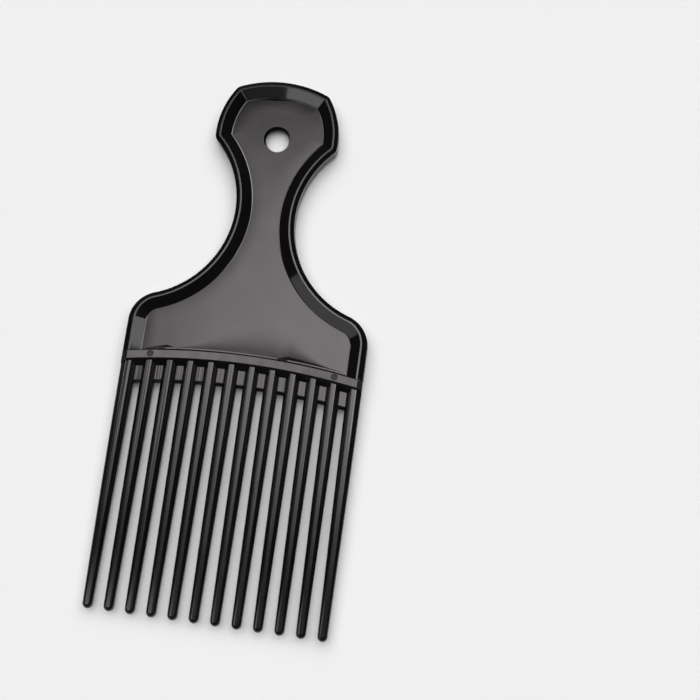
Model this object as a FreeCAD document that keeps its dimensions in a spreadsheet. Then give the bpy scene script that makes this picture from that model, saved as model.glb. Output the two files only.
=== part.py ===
"""Afro pick: one glossy black moulding, divided along its own feature lines.

Frame, in millimetres: the pick lies flat, X across its width, Y along its length with the handle
towards +Y and the teeth towards -Y, Z through its thickness. The origin is at the middle of the
underside of its bounding box. Heights along the pick are measured from the root line, a line
across the pick at the foot of the spine band.
"""
import FreeCAD, Part
import os
import Sketcher

TOOTH_COUNT = 12
TIP_SIDES = 8

# Driving sizes, in millimetres and, where the name says angle, degrees
SIZES = {
    # Teeth
    "tooth_reach": 72.1,
    "outer_tooth_inset": 2.325,
    "tooth_splay": 0.1,
    "tooth_root_width": 4.25,
    "tooth_crest_width": 1.6,
    "tooth_root_thickness": 5.0,
    "tooth_tip_diameter": 2.9,
    # Webs between the tooth roots
    "web_thickness": 1.8,
    "web_length": 7.3,
    "web_nose_length": 0.8,
    # Spine band across the root
    "band_rise": 6.75,
    "band_width": 2.5,
    "band_bevel_run": 2.1,
    "arch_radius": 213.0,
    "ejector_mark_diameter": 2.0,
    "ejector_mark_depth": 0.15,
    "ejector_mark_inset": 8.55,
    # Handle outline, at the level of its upright outer wall
    "handle_width": 72.3,
    "side_flare": 0.4,
    "shoulder_inner_radius": 4.3,
    "shoulder_rise": 13.6,
    "neck_width": 18.6,
    "neck_radius": 29.7,
    "head_width": 37.6,
    "head_side_height": 17.2,
    "head_side_bulge": 1.6,
    "crown_width": 28.4,
    "crown_rise": 3.05,
    # Rim section, from the outside inwards
    "rim_thickness": 5.8,
    "wall_height": 4.4,
    "wall_slope_width": 1.2,
    "crest_width": 0.6,
    "bevel_width": 3.2,
    # Recessed panel and its hang hole
    "panel_thickness": 2.2,
    "hole_diameter": 7.0,
    "hole_edge_radius": 0.45,
    "hole_below_crown": 18.2,
    # Room that cutting solids are given past what they cut
    "cut_overrun": 1.0,
    "cut_overrun_angle": 3.0,
}

# Places worked out from the sizes, each as an expression in the sheet and in earlier places
PLACES = {
    "rim_half": "Sizes.rim_thickness / 2",
    "wall_half": "Sizes.wall_height / 2",
    "panel_half": "Sizes.panel_thickness / 2",
    "web_half": "Sizes.web_thickness / 2",
    "tooth_half": "Sizes.tooth_root_thickness / 2",
    "crest_outer": "Sizes.wall_slope_width",
    "crest_inner": "Places.crest_outer + Sizes.crest_width",
    "rim_width": "Places.crest_inner + Sizes.bevel_width",
    "mitre_reach": "3 * Places.rim_width",
    # Heights above the root line
    "side_x": "Sizes.handle_width / 2",
    "shoulder_radius": "Sizes.shoulder_inner_radius + Places.rim_width",
    "shoulder_side_x": "Places.side_x - Sizes.side_flare",
    "shoulder_x": "Places.shoulder_side_x - Places.shoulder_radius",
    "neck_x": "Sizes.neck_width / 2 + Sizes.neck_radius",
    "neck_over_shoulder":
        "sqrt((Sizes.neck_radius + Places.shoulder_radius)^2 - (Places.neck_x - Places.shoulder_x)^2)",
    "neck_rise": "Sizes.shoulder_rise + Places.neck_over_shoulder",
    "lower_corner_x": "Sizes.head_width / 2",
    "lower_corner_rise":
        "Places.neck_rise + sqrt(Sizes.neck_radius^2 - (Places.neck_x - Places.lower_corner_x)^2)",
    "upper_corner_x": "Sizes.crown_width / 2",
    "upper_corner_rise": "Places.lower_corner_rise + Sizes.head_side_height",
    "crown_top_rise": "Places.upper_corner_rise + Sizes.crown_rise",
    # The same heights in the part's own frame
    "root_y": "(Sizes.tooth_reach - Places.crown_top_rise) / 2",
    "tip_y": "Places.root_y - Sizes.tooth_reach",
    "shoulder_y": "Places.root_y + Sizes.shoulder_rise",
    "neck_y": "Places.root_y + Places.neck_rise",
    "lower_corner_y": "Places.root_y + Places.lower_corner_rise",
    "upper_corner_y": "Places.root_y + Places.upper_corner_rise",
    "hole_y": "Places.root_y + Places.crown_top_rise - Sizes.hole_below_crown",
    # Crown arc
    "crown_radius": "(Places.upper_corner_x^2 + Sizes.crown_rise^2) / (2 * Sizes.crown_rise)",
    "crown_y": "Places.upper_corner_y + Sizes.crown_rise - Places.crown_radius",
    "crown_half_angle": "asin(Places.upper_corner_x / Places.crown_radius) / 1deg",
    # Arc of the head's short side
    "head_lean": "Places.lower_corner_x - Places.upper_corner_x",
    "head_chord": "sqrt(Places.head_lean^2 + Sizes.head_side_height^2)",
    "head_radius": "(Places.head_chord^2 / 4 + Sizes.head_side_bulge^2) / (2 * Sizes.head_side_bulge)",
    "head_half_angle": "asin(Places.head_chord / (2 * Places.head_radius)) / 1deg",
    "head_facing": "atan2(Places.head_lean; Sizes.head_side_height) / 1deg",
    "head_depth": "Places.head_radius - Sizes.head_side_bulge",
    "head_x":
        "(Places.upper_corner_x + Places.lower_corner_x) / 2 - Places.head_depth * cos(Places.head_facing)",
    "head_y":
        "(Places.upper_corner_y + Places.lower_corner_y) / 2 - Places.head_depth * sin(Places.head_facing)",
    # Neck and shoulder arcs
    "neck_start_angle":
        "atan2(Places.lower_corner_y - Places.neck_y; Places.lower_corner_x - Places.neck_x) / 1deg",
    "shoulder_sweep": "atan2(Places.neck_over_shoulder; Places.neck_x - Places.shoulder_x) / 1deg",
    "neck_sweep": "180 + Places.shoulder_sweep - Places.neck_start_angle",
    # Directions of the mitre creases, from the floor outwards
    "upper_mitre": "(90 - Places.crown_half_angle + Places.head_facing + Places.head_half_angle) / 2",
    "lower_mitre":
        "(Places.head_facing - Places.head_half_angle + Places.neck_start_angle - 180) / 2",
    # Spine band
    "arch_y": "Places.root_y + Sizes.band_rise - Sizes.arch_radius",
    "band_edge_radius": "Sizes.arch_radius - Sizes.band_width",
    "band_foot_radius": "Places.band_edge_radius - Sizes.band_bevel_run",
    "band_half_angle": "asin(Places.side_x / Places.band_foot_radius) / 1deg + Sizes.cut_overrun_angle",
    "band_side_y": "Places.arch_y + sqrt(Places.band_edge_radius^2 - Places.side_x^2)",
    "arch_drop": "Places.arch_y + Sizes.arch_radius - Places.band_side_y",
    "band_middle_radius": "Sizes.arch_radius - Sizes.band_width / 2",
    "rim_middle_x": "Places.shoulder_side_x - Places.rim_width / 2",
    "rim_foot_y": "Places.arch_y + sqrt(Places.band_middle_radius^2 - Places.rim_middle_x^2)",
    "mark_x": "Places.side_x - Sizes.ejector_mark_inset",
    "mark_y": "Places.arch_y + sqrt(Places.band_middle_radius^2 - Places.mark_x^2)",
    # Teeth, spread evenly between the two outer ones; the tip section has its corners on a circle
    "outer_tooth_x": "Places.side_x - Sizes.outer_tooth_inset",
    "root_pitch": f"2 * Places.outer_tooth_x / {TOOTH_COUNT - 1}",
    "tip_pitch": "Places.root_pitch + Sizes.tooth_splay",
    "tip_radius": "Sizes.tooth_tip_diameter / 2",
    "tip_wide": f"Places.tip_radius * cos(180 / {TIP_SIDES})",
    "tip_narrow": f"Places.tip_radius * sin(180 / {TIP_SIDES})",
}

doc = FreeCAD.newDocument("afro_pick")


def make_sizes():
    """The sheet of driving sizes, one aliased cell each."""
    sheet = doc.addObject("Spreadsheet::Sheet", "Sizes")
    for row, (name, value) in enumerate(SIZES.items(), start=1):
        sheet.set(f"A{row}", name)
        sheet.set(f"B{row}", str(value))
        sheet.setAlias(f"B{row}", name)
    doc.recompute()


def make_places():
    """The set of worked-out places, each bound to the sheet."""
    places = doc.addObject("App::VarSet", "Places")
    for name, expression in PLACES.items():
        places.addProperty("App::PropertyFloat", name)
        places.setExpression(name, expression)
    doc.recompute()


def make_probe():
    """A single value that any expression can be bound to, to read its number."""
    probe = doc.addObject("App::VarSet", "Probe")
    probe.addProperty("App::PropertyFloat", "reading")


def value_of(expression):
    """The number that an expression stands for now."""
    doc.Probe.setExpression("reading", expression)
    doc.Probe.recompute()
    return doc.Probe.reading


def bind(item, **expressions):
    """Bind properties of a document object, where two underscores stand for a dot."""
    for name, expression in expressions.items():
        item.setExpression(name.replace("__", "."), expression)


def new_sketch(body, name, role, offset=None):
    """A sketch on one of the body's own origin planes, moved along that plane's normal."""
    sketch = body.newObject("Sketcher::SketchObject", name)
    plane = [feature for feature in body.Origin.OriginFeatures if feature.Role == role][0]
    sketch.AttachmentSupport = (plane, [""])
    sketch.MapMode = "FlatFace"
    if offset:
        sketch.setExpression("AttachmentOffset.Base.z", offset)
    return sketch


def constrain(sketch, expression, *constraint):
    """Add a constraint whose value follows an expression."""
    index = sketch.addConstraint(Sketcher.Constraint(*constraint, value_of(expression)))
    sketch.setExpression(f"Constraints[{index}]", expression)


def pin(sketch, geometry, end, x, y):
    """Hold one point of a sketch at a place given by two expressions."""
    for kind, axis, expression in (("DistanceX", -2, x), ("DistanceY", -1, y)):
        value = value_of(expression)
        if value > 0:
            constrain(sketch, expression, kind, -1, 1, geometry, end)
        elif value < 0:
            constrain(sketch, f"-({expression})", kind, geometry, end, -1, 1)
        else:
            sketch.addConstraint(Sketcher.Constraint("PointOnObject", geometry, end, axis))


def draw_polygon(sketch, corners):
    """A closed outline of straight lines, every corner pinned by its expressions."""
    points = [FreeCAD.Vector(value_of(x), value_of(y), 0) for x, y in corners]
    last = len(points) - 1
    for index, point in enumerate(points):
        sketch.addGeometry(Part.LineSegment(point, points[0 if index == last else index + 1]))
    for index, (x, y) in enumerate(corners):
        sketch.addConstraint(Sketcher.Constraint("Coincident", index - 1 if index else last, 2, index, 1))
        pin(sketch, index, 1, x, y)


def mirrored_corners(upper):
    """Corners of an outline that is the same above and below the middle plane."""
    return upper + [(x, f"-({y})") for x, y in reversed(upper)]


def cut(name, base, tool):
    """The base with the tool taken away."""
    result = doc.addObject("Part::Cut", name)
    result.Base = base
    result.Tool = tool
    return result


def mirror(name, source):
    """The same piece on the other side of the pick."""
    result = doc.addObject("Part::Mirroring", name)
    result.Source = source
    result.Normal = FreeCAD.Vector(1, 0, 0)
    return result


def rim_section(body, name, radius, inward, wall, offset=None):
    """The rim's section: upright wall, slope to the crest, flat crest and bevel down to the panel."""
    section = new_sketch(body, name, "XZ_Plane", offset)
    upper = [
        (wall, "Places.wall_half"),
        (f"{radius} {inward} Places.crest_outer", "Places.rim_half"),
        (f"{radius} {inward} Places.crest_inner", "Places.rim_half"),
        (f"{radius} {inward} Places.rim_width", "Places.panel_half"),
    ]
    draw_polygon(section, mirrored_corners(upper))
    return section


def rim_body(name, x, y, start_angle, sweep, radius, inward):
    """A stretch of rim turned about the centre of its arc; inward is the way to the panel."""
    body = doc.addObject("PartDesign::Body", name)
    bind(body, Placement__Base__x=x, Placement__Base__y=y, Placement__Base__z="Places.rim_half")
    bind(body, Placement__Rotation__Angle=start_angle)
    section = rim_section(body, f"{name}_section", radius, inward, radius)
    turn = body.newObject("PartDesign::Revolution", f"{name}_turn")
    turn.Profile = section
    turn.ReferenceAxis = (section, ["V_Axis"])
    turn.setExpression("Angle", sweep)
    return body


def mitre_cutter(name, x, y, angle):
    """A block whose one side is a mitre plane; it covers what lies to the left of the angle."""
    box = doc.addObject("Part::Box", name)
    bind(box, Length="2 * Places.mitre_reach", Width="Places.mitre_reach")
    bind(box, Height="Sizes.rim_thickness + 2 * Sizes.cut_overrun")
    bind(box, Placement__Base__x=f"{x} - Places.mitre_reach * cos({angle})")
    bind(box, Placement__Base__y=f"{y} - Places.mitre_reach * sin({angle})")
    bind(box, Placement__Base__z="-Sizes.cut_overrun", Placement__Rotation__Angle=angle)
    return box


def make_crown_rim():
    """The rim over the top of the head, cut at both upper mitres."""
    whole = rim_body(
        "crown_arc", "0", "Places.crown_y",
        "90 - Places.crown_half_angle - Sizes.cut_overrun_angle",
        "2 * (Places.crown_half_angle + Sizes.cut_overrun_angle)",
        "Places.crown_radius", "-")
    corner = ("Places.upper_corner_x", "Places.upper_corner_y")
    right = mitre_cutter("crown_mitre_right", *corner, "(Places.upper_mitre + 180)")
    left = mitre_cutter("crown_mitre_left", f"-{corner[0]}", corner[1], "(180 - Places.upper_mitre)")
    return cut("crown_rim", cut("crown_right_cut", whole, right), left)


def make_head_rim():
    """The rim on the head's short right side, cut at both its mitres."""
    whole = rim_body(
        "head_arc", "Places.head_x", "Places.head_y",
        "Places.head_facing - Places.head_half_angle - Sizes.cut_overrun_angle",
        "2 * (Places.head_half_angle + Sizes.cut_overrun_angle)",
        "Places.head_radius", "-")
    top = mitre_cutter(
        "head_mitre_top", "Places.upper_corner_x", "Places.upper_corner_y", "Places.upper_mitre")
    foot = mitre_cutter(
        "head_mitre_foot", "Places.lower_corner_x", "Places.lower_corner_y", "(Places.lower_mitre + 180)")
    return cut("head_rim_right", cut("head_top_cut", whole, top), foot)


def make_neck_rim():
    """The rim along the inward curve of the right side, cut at the head's lower mitre."""
    whole = rim_body(
        "neck_arc", "Places.neck_x", "Places.neck_y",
        "Places.neck_start_angle - Sizes.cut_overrun_angle",
        "Places.neck_sweep + Sizes.cut_overrun_angle",
        "Sizes.neck_radius", "+")
    top = mitre_cutter(
        "neck_mitre", "Places.lower_corner_x", "Places.lower_corner_y", "Places.lower_mitre")
    return cut("neck_rim_right", whole, top)


def make_shoulder_rim(band):
    """The rim round the right shoulder and down the flared side, ending on the spine band."""
    whole = rim_body(
        "shoulder_arc", "Places.shoulder_x", "Places.shoulder_y", "0",
        "Places.shoulder_sweep", "Places.shoulder_radius", "-")
    foot = rim_section(
        whole, "shoulder_foot", "Places.shoulder_radius", "-",
        "Places.shoulder_radius + Sizes.side_flare", "Places.shoulder_y - Places.rim_foot_y")
    side = whole.newObject("PartDesign::AdditiveLoft", "shoulder_side")
    side.Profile = doc.shoulder_arc_section
    side.Sections = [foot]
    side.Ruled = True
    return cut("shoulder_rim_right", whole, band)


def make_spine_band():
    """The arched bar across the tooth roots, with its sloped foot and two ejector marks."""
    arch = doc.addObject("PartDesign::Body", "band_arch")
    bind(arch, Placement__Base__y="Places.arch_y", Placement__Base__z="Places.rim_half")
    bind(arch, Placement__Rotation__Angle="90 - Places.band_half_angle")
    section = new_sketch(arch, "band_section", "XZ_Plane")
    upper = [
        ("Sizes.arch_radius", "Places.rim_half"),
        ("Places.band_edge_radius", "Places.rim_half"),
        ("Places.band_foot_radius", "Places.web_half"),
    ]
    draw_polygon(section, mirrored_corners(upper))
    turn = arch.newObject("PartDesign::Revolution", "band_turn")
    turn.Profile = section
    turn.ReferenceAxis = (section, ["V_Axis"])
    turn.setExpression("Angle", "2 * Places.band_half_angle")

    # The pick's outer walls bound the band's two ends
    walls = doc.addObject("PartDesign::Body", "band_walls")
    bind(walls, Placement__Base__y="Places.band_side_y", Placement__Base__z="Places.rim_half")
    profile = new_sketch(walls, "band_walls_profile", "XZ_Plane")
    upper = [
        ("Places.side_x", "Places.wall_half"),
        ("Places.shoulder_side_x - Places.crest_outer", "Places.rim_half"),
        ("Places.crest_outer - Places.shoulder_side_x", "Places.rim_half"),
        ("-Places.side_x", "Places.wall_half"),
    ]
    draw_polygon(profile, mirrored_corners(upper))
    pad = walls.newObject("PartDesign::Pad", "band_walls_pad")
    pad.Profile = profile
    pad.Midplane = True
    pad.setExpression(
        "Length", "2 * (Places.arch_drop + Sizes.band_width + Sizes.band_bevel_run + Sizes.cut_overrun)")
    result = doc.addObject("Part::Common", "band_blank")
    result.Base = arch
    result.Tool = walls

    for side, sign in (("left", "-"), ("right", "")):
        mark = doc.addObject("Part::Cylinder", f"ejector_mark_{side}")
        bind(mark, Radius="Sizes.ejector_mark_diameter / 2")
        bind(mark, Height="Sizes.ejector_mark_depth + Sizes.cut_overrun")
        bind(mark, Placement__Base__x=f"{sign}Places.mark_x", Placement__Base__y="Places.mark_y")
        bind(mark, Placement__Base__z="Sizes.rim_thickness - Sizes.ejector_mark_depth")
        result = cut("spine_band" if side == "right" else f"band_marked_{side}", result, mark)
    return result


def add_arc(sketch, centre, radius, start, end):
    """An arc from expressions for its centre, radius and two angles in degrees; returns its index."""
    middle = FreeCAD.Vector(value_of(centre[0]), value_of(centre[1]), 0)
    circle = Part.Circle(middle, FreeCAD.Vector(0, 0, 1), value_of(radius))
    angles = [FreeCAD.Units.Quantity(value_of(angle), FreeCAD.Units.Angle) for angle in (start, end)]
    first, last = (angle.getValueAs("rad").Value for angle in angles)
    return sketch.addGeometry(Part.ArcOfCircle(circle, first, last))


def fix_arc(sketch, arc, centre, radius):
    """Hold an arc's centre and radius; its ends follow from its neighbours."""
    pin(sketch, arc, 3, *centre)
    constrain(sketch, radius, "Radius", arc)


def draw_panel_side(sketch, sign):
    """One side of the panel's outline, from the crown down: head, neck, shoulder and side."""
    right = sign == ""
    head_centre = (f"{sign}Places.head_x", "Places.head_y")
    neck_centre = (f"{sign}Places.neck_x", "Places.neck_y")
    shoulder_centre = (f"{sign}Places.shoulder_x", "Places.shoulder_y")

    def spread(first, last):
        """Two angles of the right side, or their mirror images on the left."""
        return (first, last) if right else (f"180 - ({last})", f"180 - ({first})")

    head_angles = spread(
        "Places.head_facing - Places.head_half_angle", "Places.head_facing + Places.head_half_angle")
    neck_angles = spread("Places.neck_start_angle", "Places.neck_start_angle + Places.neck_sweep")
    head = add_arc(sketch, head_centre, "Places.head_radius - Places.rim_width", *head_angles)
    neck = add_arc(sketch, neck_centre, "Sizes.neck_radius + Places.rim_width", *neck_angles)
    shoulder = add_arc(
        sketch, shoulder_centre, "Sizes.shoulder_inner_radius", *spread("0", "Places.shoulder_sweep"))
    side_x = value_of(f"{sign}(Places.shoulder_side_x - Places.rim_width)")
    side = sketch.addGeometry(Part.LineSegment(
        FreeCAD.Vector(side_x, value_of("Places.shoulder_y"), 0),
        FreeCAD.Vector(side_x, value_of("Places.band_side_y"), 0)))
    fix_arc(sketch, head, head_centre, "Places.head_radius - Places.rim_width")
    fix_arc(sketch, neck, neck_centre, "Sizes.neck_radius + Places.rim_width")
    constrain(sketch, "Sizes.shoulder_inner_radius", "Radius", shoulder)

    # Arcs run anticlockwise, so which end is the upper one differs from side to side
    upper, lower = (2, 1) if right else (1, 2)
    sketch.addConstraint(Sketcher.Constraint("Coincident", head, lower, neck, 3 - upper))
    sketch.addConstraint(Sketcher.Constraint("Tangent", neck, 3 - lower, shoulder, upper))
    sketch.addConstraint(Sketcher.Constraint("Tangent", shoulder, lower, side, 1))
    sketch.addConstraint(Sketcher.Constraint("Vertical", side))
    if right:
        constrain(sketch, "Places.shoulder_side_x - Places.rim_width", "DistanceX", -1, 1, side, 2)
    else:
        constrain(sketch, "Places.shoulder_side_x - Places.rim_width", "DistanceX", side, 2, -1, 1)
    return (head, upper), (side, 2)


def make_handle_panel():
    """The recessed floor inside the rim, with the rounded hang hole."""
    body = doc.addObject("PartDesign::Body", "handle_panel")
    bind(body, Placement__Base__z="Places.rim_half")
    outline = new_sketch(body, "panel_outline", "XY_Plane")
    crown_centre = ("0", "Places.crown_y")
    crown_radius = "Places.crown_radius - Places.rim_width"
    crown = add_arc(
        outline, crown_centre, crown_radius,
        "90 - Places.crown_half_angle", "90 + Places.crown_half_angle")
    arch_centre = ("0", "Places.arch_y")
    arch = add_arc(
        outline, arch_centre, "Sizes.arch_radius",
        "90 - Places.band_half_angle", "90 + Places.band_half_angle")
    fix_arc(outline, crown, crown_centre, crown_radius)
    fix_arc(outline, arch, arch_centre, "Sizes.arch_radius")
    for sign, end in (("", 1), ("-", 2)):
        top, foot = draw_panel_side(outline, sign)
        outline.addConstraint(Sketcher.Constraint("Coincident", *top, crown, end))
        outline.addConstraint(Sketcher.Constraint("Coincident", *foot, arch, end))
    hole_radius = "Sizes.hole_diameter / 2"
    hole = outline.addGeometry(Part.Circle(
        FreeCAD.Vector(0, value_of("Places.hole_y"), 0), FreeCAD.Vector(0, 0, 1), value_of(hole_radius)))
    fix_arc(outline, hole, ("0", "Places.hole_y"), hole_radius)

    pad = body.newObject("PartDesign::Pad", "panel_pad")
    pad.Profile = outline
    pad.Midplane = True
    pad.setExpression("Length", "Sizes.panel_thickness")
    doc.recompute()
    rounding = body.newObject("PartDesign::Fillet", "hole_rounding")
    rings = [
        f"Edge{index}" for index, edge in enumerate(pad.Shape.Edges, start=1)
        if edge.isClosed() and isinstance(edge.Curve, Part.Circle)]
    rounding.Base = (pad, rings)
    rounding.setExpression("Radius", "Sizes.hole_edge_radius")
    return body


def tooth_section(body, name, offset, left, right, crest, half, land):
    """An eight-sided section of a tooth: flat crests, sloped flanks and upright sides."""
    sketch = new_sketch(body, name, "XZ_Plane", offset)
    upper = [(right, land), (crest, half), (f"-({crest})", half), (f"-({left})", land)]
    draw_polygon(sketch, mirrored_corners(upper))
    return sketch


def make_tooth(number, band):
    """One tapering tooth with a ball tip, its root fitted to the spine band."""
    name = f"tooth_{number:02d}"
    steps = f"({number} - {TOOTH_COUNT + 1} / 2)"
    root_x = f"({steps} * Places.root_pitch)"
    root_y = f"(Places.arch_y + sqrt(Places.band_edge_radius^2 - {root_x}^2))"
    tip_x = f"({steps} * Places.tip_pitch)"
    length = f"({root_y} - Places.tip_y)"
    body = doc.addObject("PartDesign::Body", f"{name}_blank")
    bind(body, Placement__Base__x=root_x, Placement__Base__y=root_y, Placement__Base__z="Places.rim_half")
    bind(body, Placement__Rotation__Angle=f"atan(({tip_x} - {root_x}) / {length})")

    # The two outermost teeth are wider at the root, flush with the pick's sides
    inner_half = "Sizes.tooth_root_width / 2"
    left = "Sizes.outer_tooth_inset" if number == 1 else inner_half
    right = "Sizes.outer_tooth_inset" if number == TOOTH_COUNT else inner_half
    root = tooth_section(
        body, f"{name}_root", None, left, right,
        "Sizes.tooth_crest_width / 2", "Places.tooth_half", "Places.web_half")
    shank = f"{length} - Places.tip_radius"
    tip = tooth_section(
        body, f"{name}_tip", shank, "Places.tip_wide", "Places.tip_wide",
        "Places.tip_narrow", "Places.tip_wide", "Places.tip_narrow")
    loft = body.newObject("PartDesign::AdditiveLoft", f"{name}_loft")
    loft.Profile = root
    loft.Sections = [tip]
    loft.Ruled = True
    ball = body.newObject("PartDesign::AdditiveSphere", f"{name}_ball")
    bind(ball, Radius="Places.tip_radius", Placement__Base__y=f"-({shank})")
    return cut(name, body, band)


def make_web(number, band, teeth):
    """The thin web between two tooth roots, with a nose that ends on the middle plane."""
    name = f"root_web_{number:02d}"
    centre_x = f"(({number} - {TOOTH_COUNT} / 2) * Places.root_pitch)"
    edge_y = f"(Places.arch_y + sqrt(Places.band_edge_radius^2 - {centre_x}^2))"
    body = doc.addObject("PartDesign::Body", f"{name}_blank")
    bind(body, Placement__Base__x=centre_x, Placement__Base__y=edge_y, Placement__Base__z="Places.rim_half")
    profile = new_sketch(body, f"{name}_profile", "YZ_Plane")
    pad_end = "Sizes.web_nose_length - Sizes.web_length"
    draw_polygon(profile, [
        ("0", "Places.web_half"),
        (pad_end, "Places.web_half"),
        ("-Sizes.web_length", "0"),
        (pad_end, "-Places.web_half"),
        ("0", "-Places.web_half"),
    ])
    pad = body.newObject("PartDesign::Pad", f"{name}_pad")
    pad.Profile = profile
    pad.Midplane = True
    pad.setExpression("Length", "Places.root_pitch")
    fitted = cut(f"{name}_at_band", body, band)
    fitted = cut(f"{name}_at_tooth", fitted, teeth[number - 1])
    return cut(name, fitted, teeth[number])


def make_pieces():
    """Every piece of the pick, by the name of its node."""
    band = make_spine_band()
    pieces = [make_handle_panel(), make_crown_rim(), band]
    for right in (make_head_rim(), make_neck_rim(), make_shoulder_rim(band)):
        pieces += [right, mirror(right.Name.replace("right", "left"), right)]
    teeth = [make_tooth(number, band) for number in range(1, TOOTH_COUNT + 1)]
    webs = [make_web(number, band, teeth) for number in range(1, TOOTH_COUNT)]
    return pieces + teeth + webs


def check(pieces):
    """Stop if any object failed, or any piece is not one valid solid."""
    failed = [item.Name for item in doc.Objects if {"Invalid", "Error"} & set(item.State)]
    if failed:
        raise RuntimeError(f"failed objects: {failed}")
    for piece in pieces:
        shape = piece.Shape
        if shape.isNull() or not shape.isValid() or len(shape.Solids) != 1:
            raise RuntimeError(f"{piece.Label} is not one valid solid")


def export(pieces):
    """Write each piece to its own file."""
    os.makedirs("parts", exist_ok=True)
    for piece in pieces:
        piece.Shape.exportStep(f"parts/{piece.Label}.step")
        print(f"{piece.Label}: {piece.Shape.Volume:.2f} mm3")


make_sizes()
make_places()
make_probe()
all_pieces = make_pieces()
doc.recompute()
check(all_pieces)
export(all_pieces)
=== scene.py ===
"""The looks of the afro pick: smooth glossy skins over its solids, its finish, stage and camera."""

import math

import bmesh
import bpy
import numpy as np
from mathutils import Matrix, Vector
from mathutils.geometry import delaunay_2d_cdt


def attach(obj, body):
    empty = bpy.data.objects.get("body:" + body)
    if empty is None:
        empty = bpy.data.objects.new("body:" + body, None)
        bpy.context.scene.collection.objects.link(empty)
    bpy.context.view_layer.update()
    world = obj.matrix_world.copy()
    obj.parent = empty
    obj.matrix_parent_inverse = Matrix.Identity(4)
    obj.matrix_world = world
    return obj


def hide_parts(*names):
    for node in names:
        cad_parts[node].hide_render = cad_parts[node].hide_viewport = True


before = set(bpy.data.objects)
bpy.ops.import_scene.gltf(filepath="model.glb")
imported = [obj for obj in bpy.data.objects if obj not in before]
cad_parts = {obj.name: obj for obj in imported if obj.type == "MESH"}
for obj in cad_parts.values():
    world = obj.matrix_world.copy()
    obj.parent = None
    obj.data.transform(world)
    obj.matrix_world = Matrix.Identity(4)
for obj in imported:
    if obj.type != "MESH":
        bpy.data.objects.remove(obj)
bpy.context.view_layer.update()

# Lengths are in millimetres until a mesh is made
MM = 0.001
BODY = "root"
TOOTH_COUNT = 12

# Sizes of the solids that the skins cover
TOOTH_REACH = 72.1
OUTER_TOOTH_INSET = 2.325
TOOTH_SPLAY = 0.1
TOOTH_ROOT_WIDTH = 4.25
TOOTH_CREST_WIDTH = 1.6
TOOTH_ROOT_THICKNESS = 5.0
TOOTH_TIP_DIAMETER = 2.9
WEB_THICKNESS = 1.8
WEB_LENGTH = 7.3
WEB_NOSE_LENGTH = 0.8
BAND_RISE = 6.75
BAND_WIDTH = 2.5
BAND_BEVEL_RUN = 2.1
ARCH_RADIUS = 213.0
EJECTOR_MARK_RADIUS = 1.0
EJECTOR_MARK_DEPTH = 0.15
EJECTOR_MARK_INSET = 8.55
HANDLE_WIDTH = 72.3
SIDE_FLARE = 0.4
SHOULDER_INNER_RADIUS = 4.3
SHOULDER_RISE = 13.6
NECK_WIDTH = 18.6
NECK_RADIUS = 29.7
HEAD_WIDTH = 37.6
HEAD_SIDE_HEIGHT = 17.2
HEAD_SIDE_BULGE = 1.6
CROWN_WIDTH = 28.4
CROWN_RISE = 3.05
RIM_THICKNESS = 5.8
WALL_HEIGHT = 4.4
WALL_SLOPE_WIDTH = 1.2
CREST_WIDTH = 0.6
BEVEL_WIDTH = 3.2
PANEL_THICKNESS = 2.2
HOLE_DIAMETER = 7.0
HOLE_BELOW_CROWN = 18.2

# Roundings and small marks that only the skins have
CORNER_RADIUS = 2.4
CREASE_RADIUS = 0.2
WALL_INSET = 0.1
WALL_ROUNDING = 0.2
CREST_NARROWING = 0.15
CREST_OUTER_ROUNDING = 0.14
CREST_INNER_ROUNDING = 0.12
FLOOR_ROUNDING = 0.65
PARTING_RIDGE = 0.05
SUPPORT_GAP = 0.05
HOLE_EDGE_RADIUS = 0.1
HOLE_FLARE = 0.65
HOLE_LAND = 0.3
BAND_EDGE_ROUNDING = 0.22
TOOTH_CORNER_POWER = 40.0
TOOTH_TIP_POWER = 3.2
TOOTH_TAPER_POWER = 1.3
OUTER_LAND_HALF = 1.5
TOOTH_TRIM = 0.02
WEB_BURY = 0.25

RIM_HALF = RIM_THICKNESS / 2
WALL_HALF = WALL_HEIGHT / 2
PANEL_HALF = PANEL_THICKNESS / 2
WEB_HALF = WEB_THICKNESS / 2
CREST_OUTER = WALL_SLOPE_WIDTH + CREST_NARROWING
CREST_INNER = WALL_SLOPE_WIDTH + CREST_WIDTH
RIM_WIDTH = CREST_INNER + BEVEL_WIDTH

# Places in the pick's own frame, worked out as the solids are
SIDE_X = HANDLE_WIDTH / 2
SHOULDER_SIDE_X = SIDE_X - SIDE_FLARE
SHOULDER_RADIUS = SHOULDER_INNER_RADIUS + RIM_WIDTH
SHOULDER_X = SHOULDER_SIDE_X - SHOULDER_RADIUS
NECK_X = NECK_WIDTH / 2 + NECK_RADIUS
NECK_RISE = SHOULDER_RISE + math.sqrt((NECK_RADIUS + SHOULDER_RADIUS) ** 2 - (NECK_X - SHOULDER_X) ** 2)
LOWER_X = HEAD_WIDTH / 2
LOWER_RISE = NECK_RISE + math.sqrt(NECK_RADIUS ** 2 - (NECK_X - LOWER_X) ** 2)
UPPER_X = CROWN_WIDTH / 2
UPPER_RISE = LOWER_RISE + HEAD_SIDE_HEIGHT
CROWN_TOP_RISE = UPPER_RISE + CROWN_RISE
ROOT_Y = (TOOTH_REACH - CROWN_TOP_RISE) / 2
TIP_Y = ROOT_Y - TOOTH_REACH
HOLE_Y = ROOT_Y + CROWN_TOP_RISE - HOLE_BELOW_CROWN
ARCH_Y = ROOT_Y + BAND_RISE - ARCH_RADIUS
BAND_EDGE_RADIUS = ARCH_RADIUS - BAND_WIDTH
BAND_FOOT_RADIUS = BAND_EDGE_RADIUS - BAND_BEVEL_RUN
MARK_X = SIDE_X - EJECTOR_MARK_INSET
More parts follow.
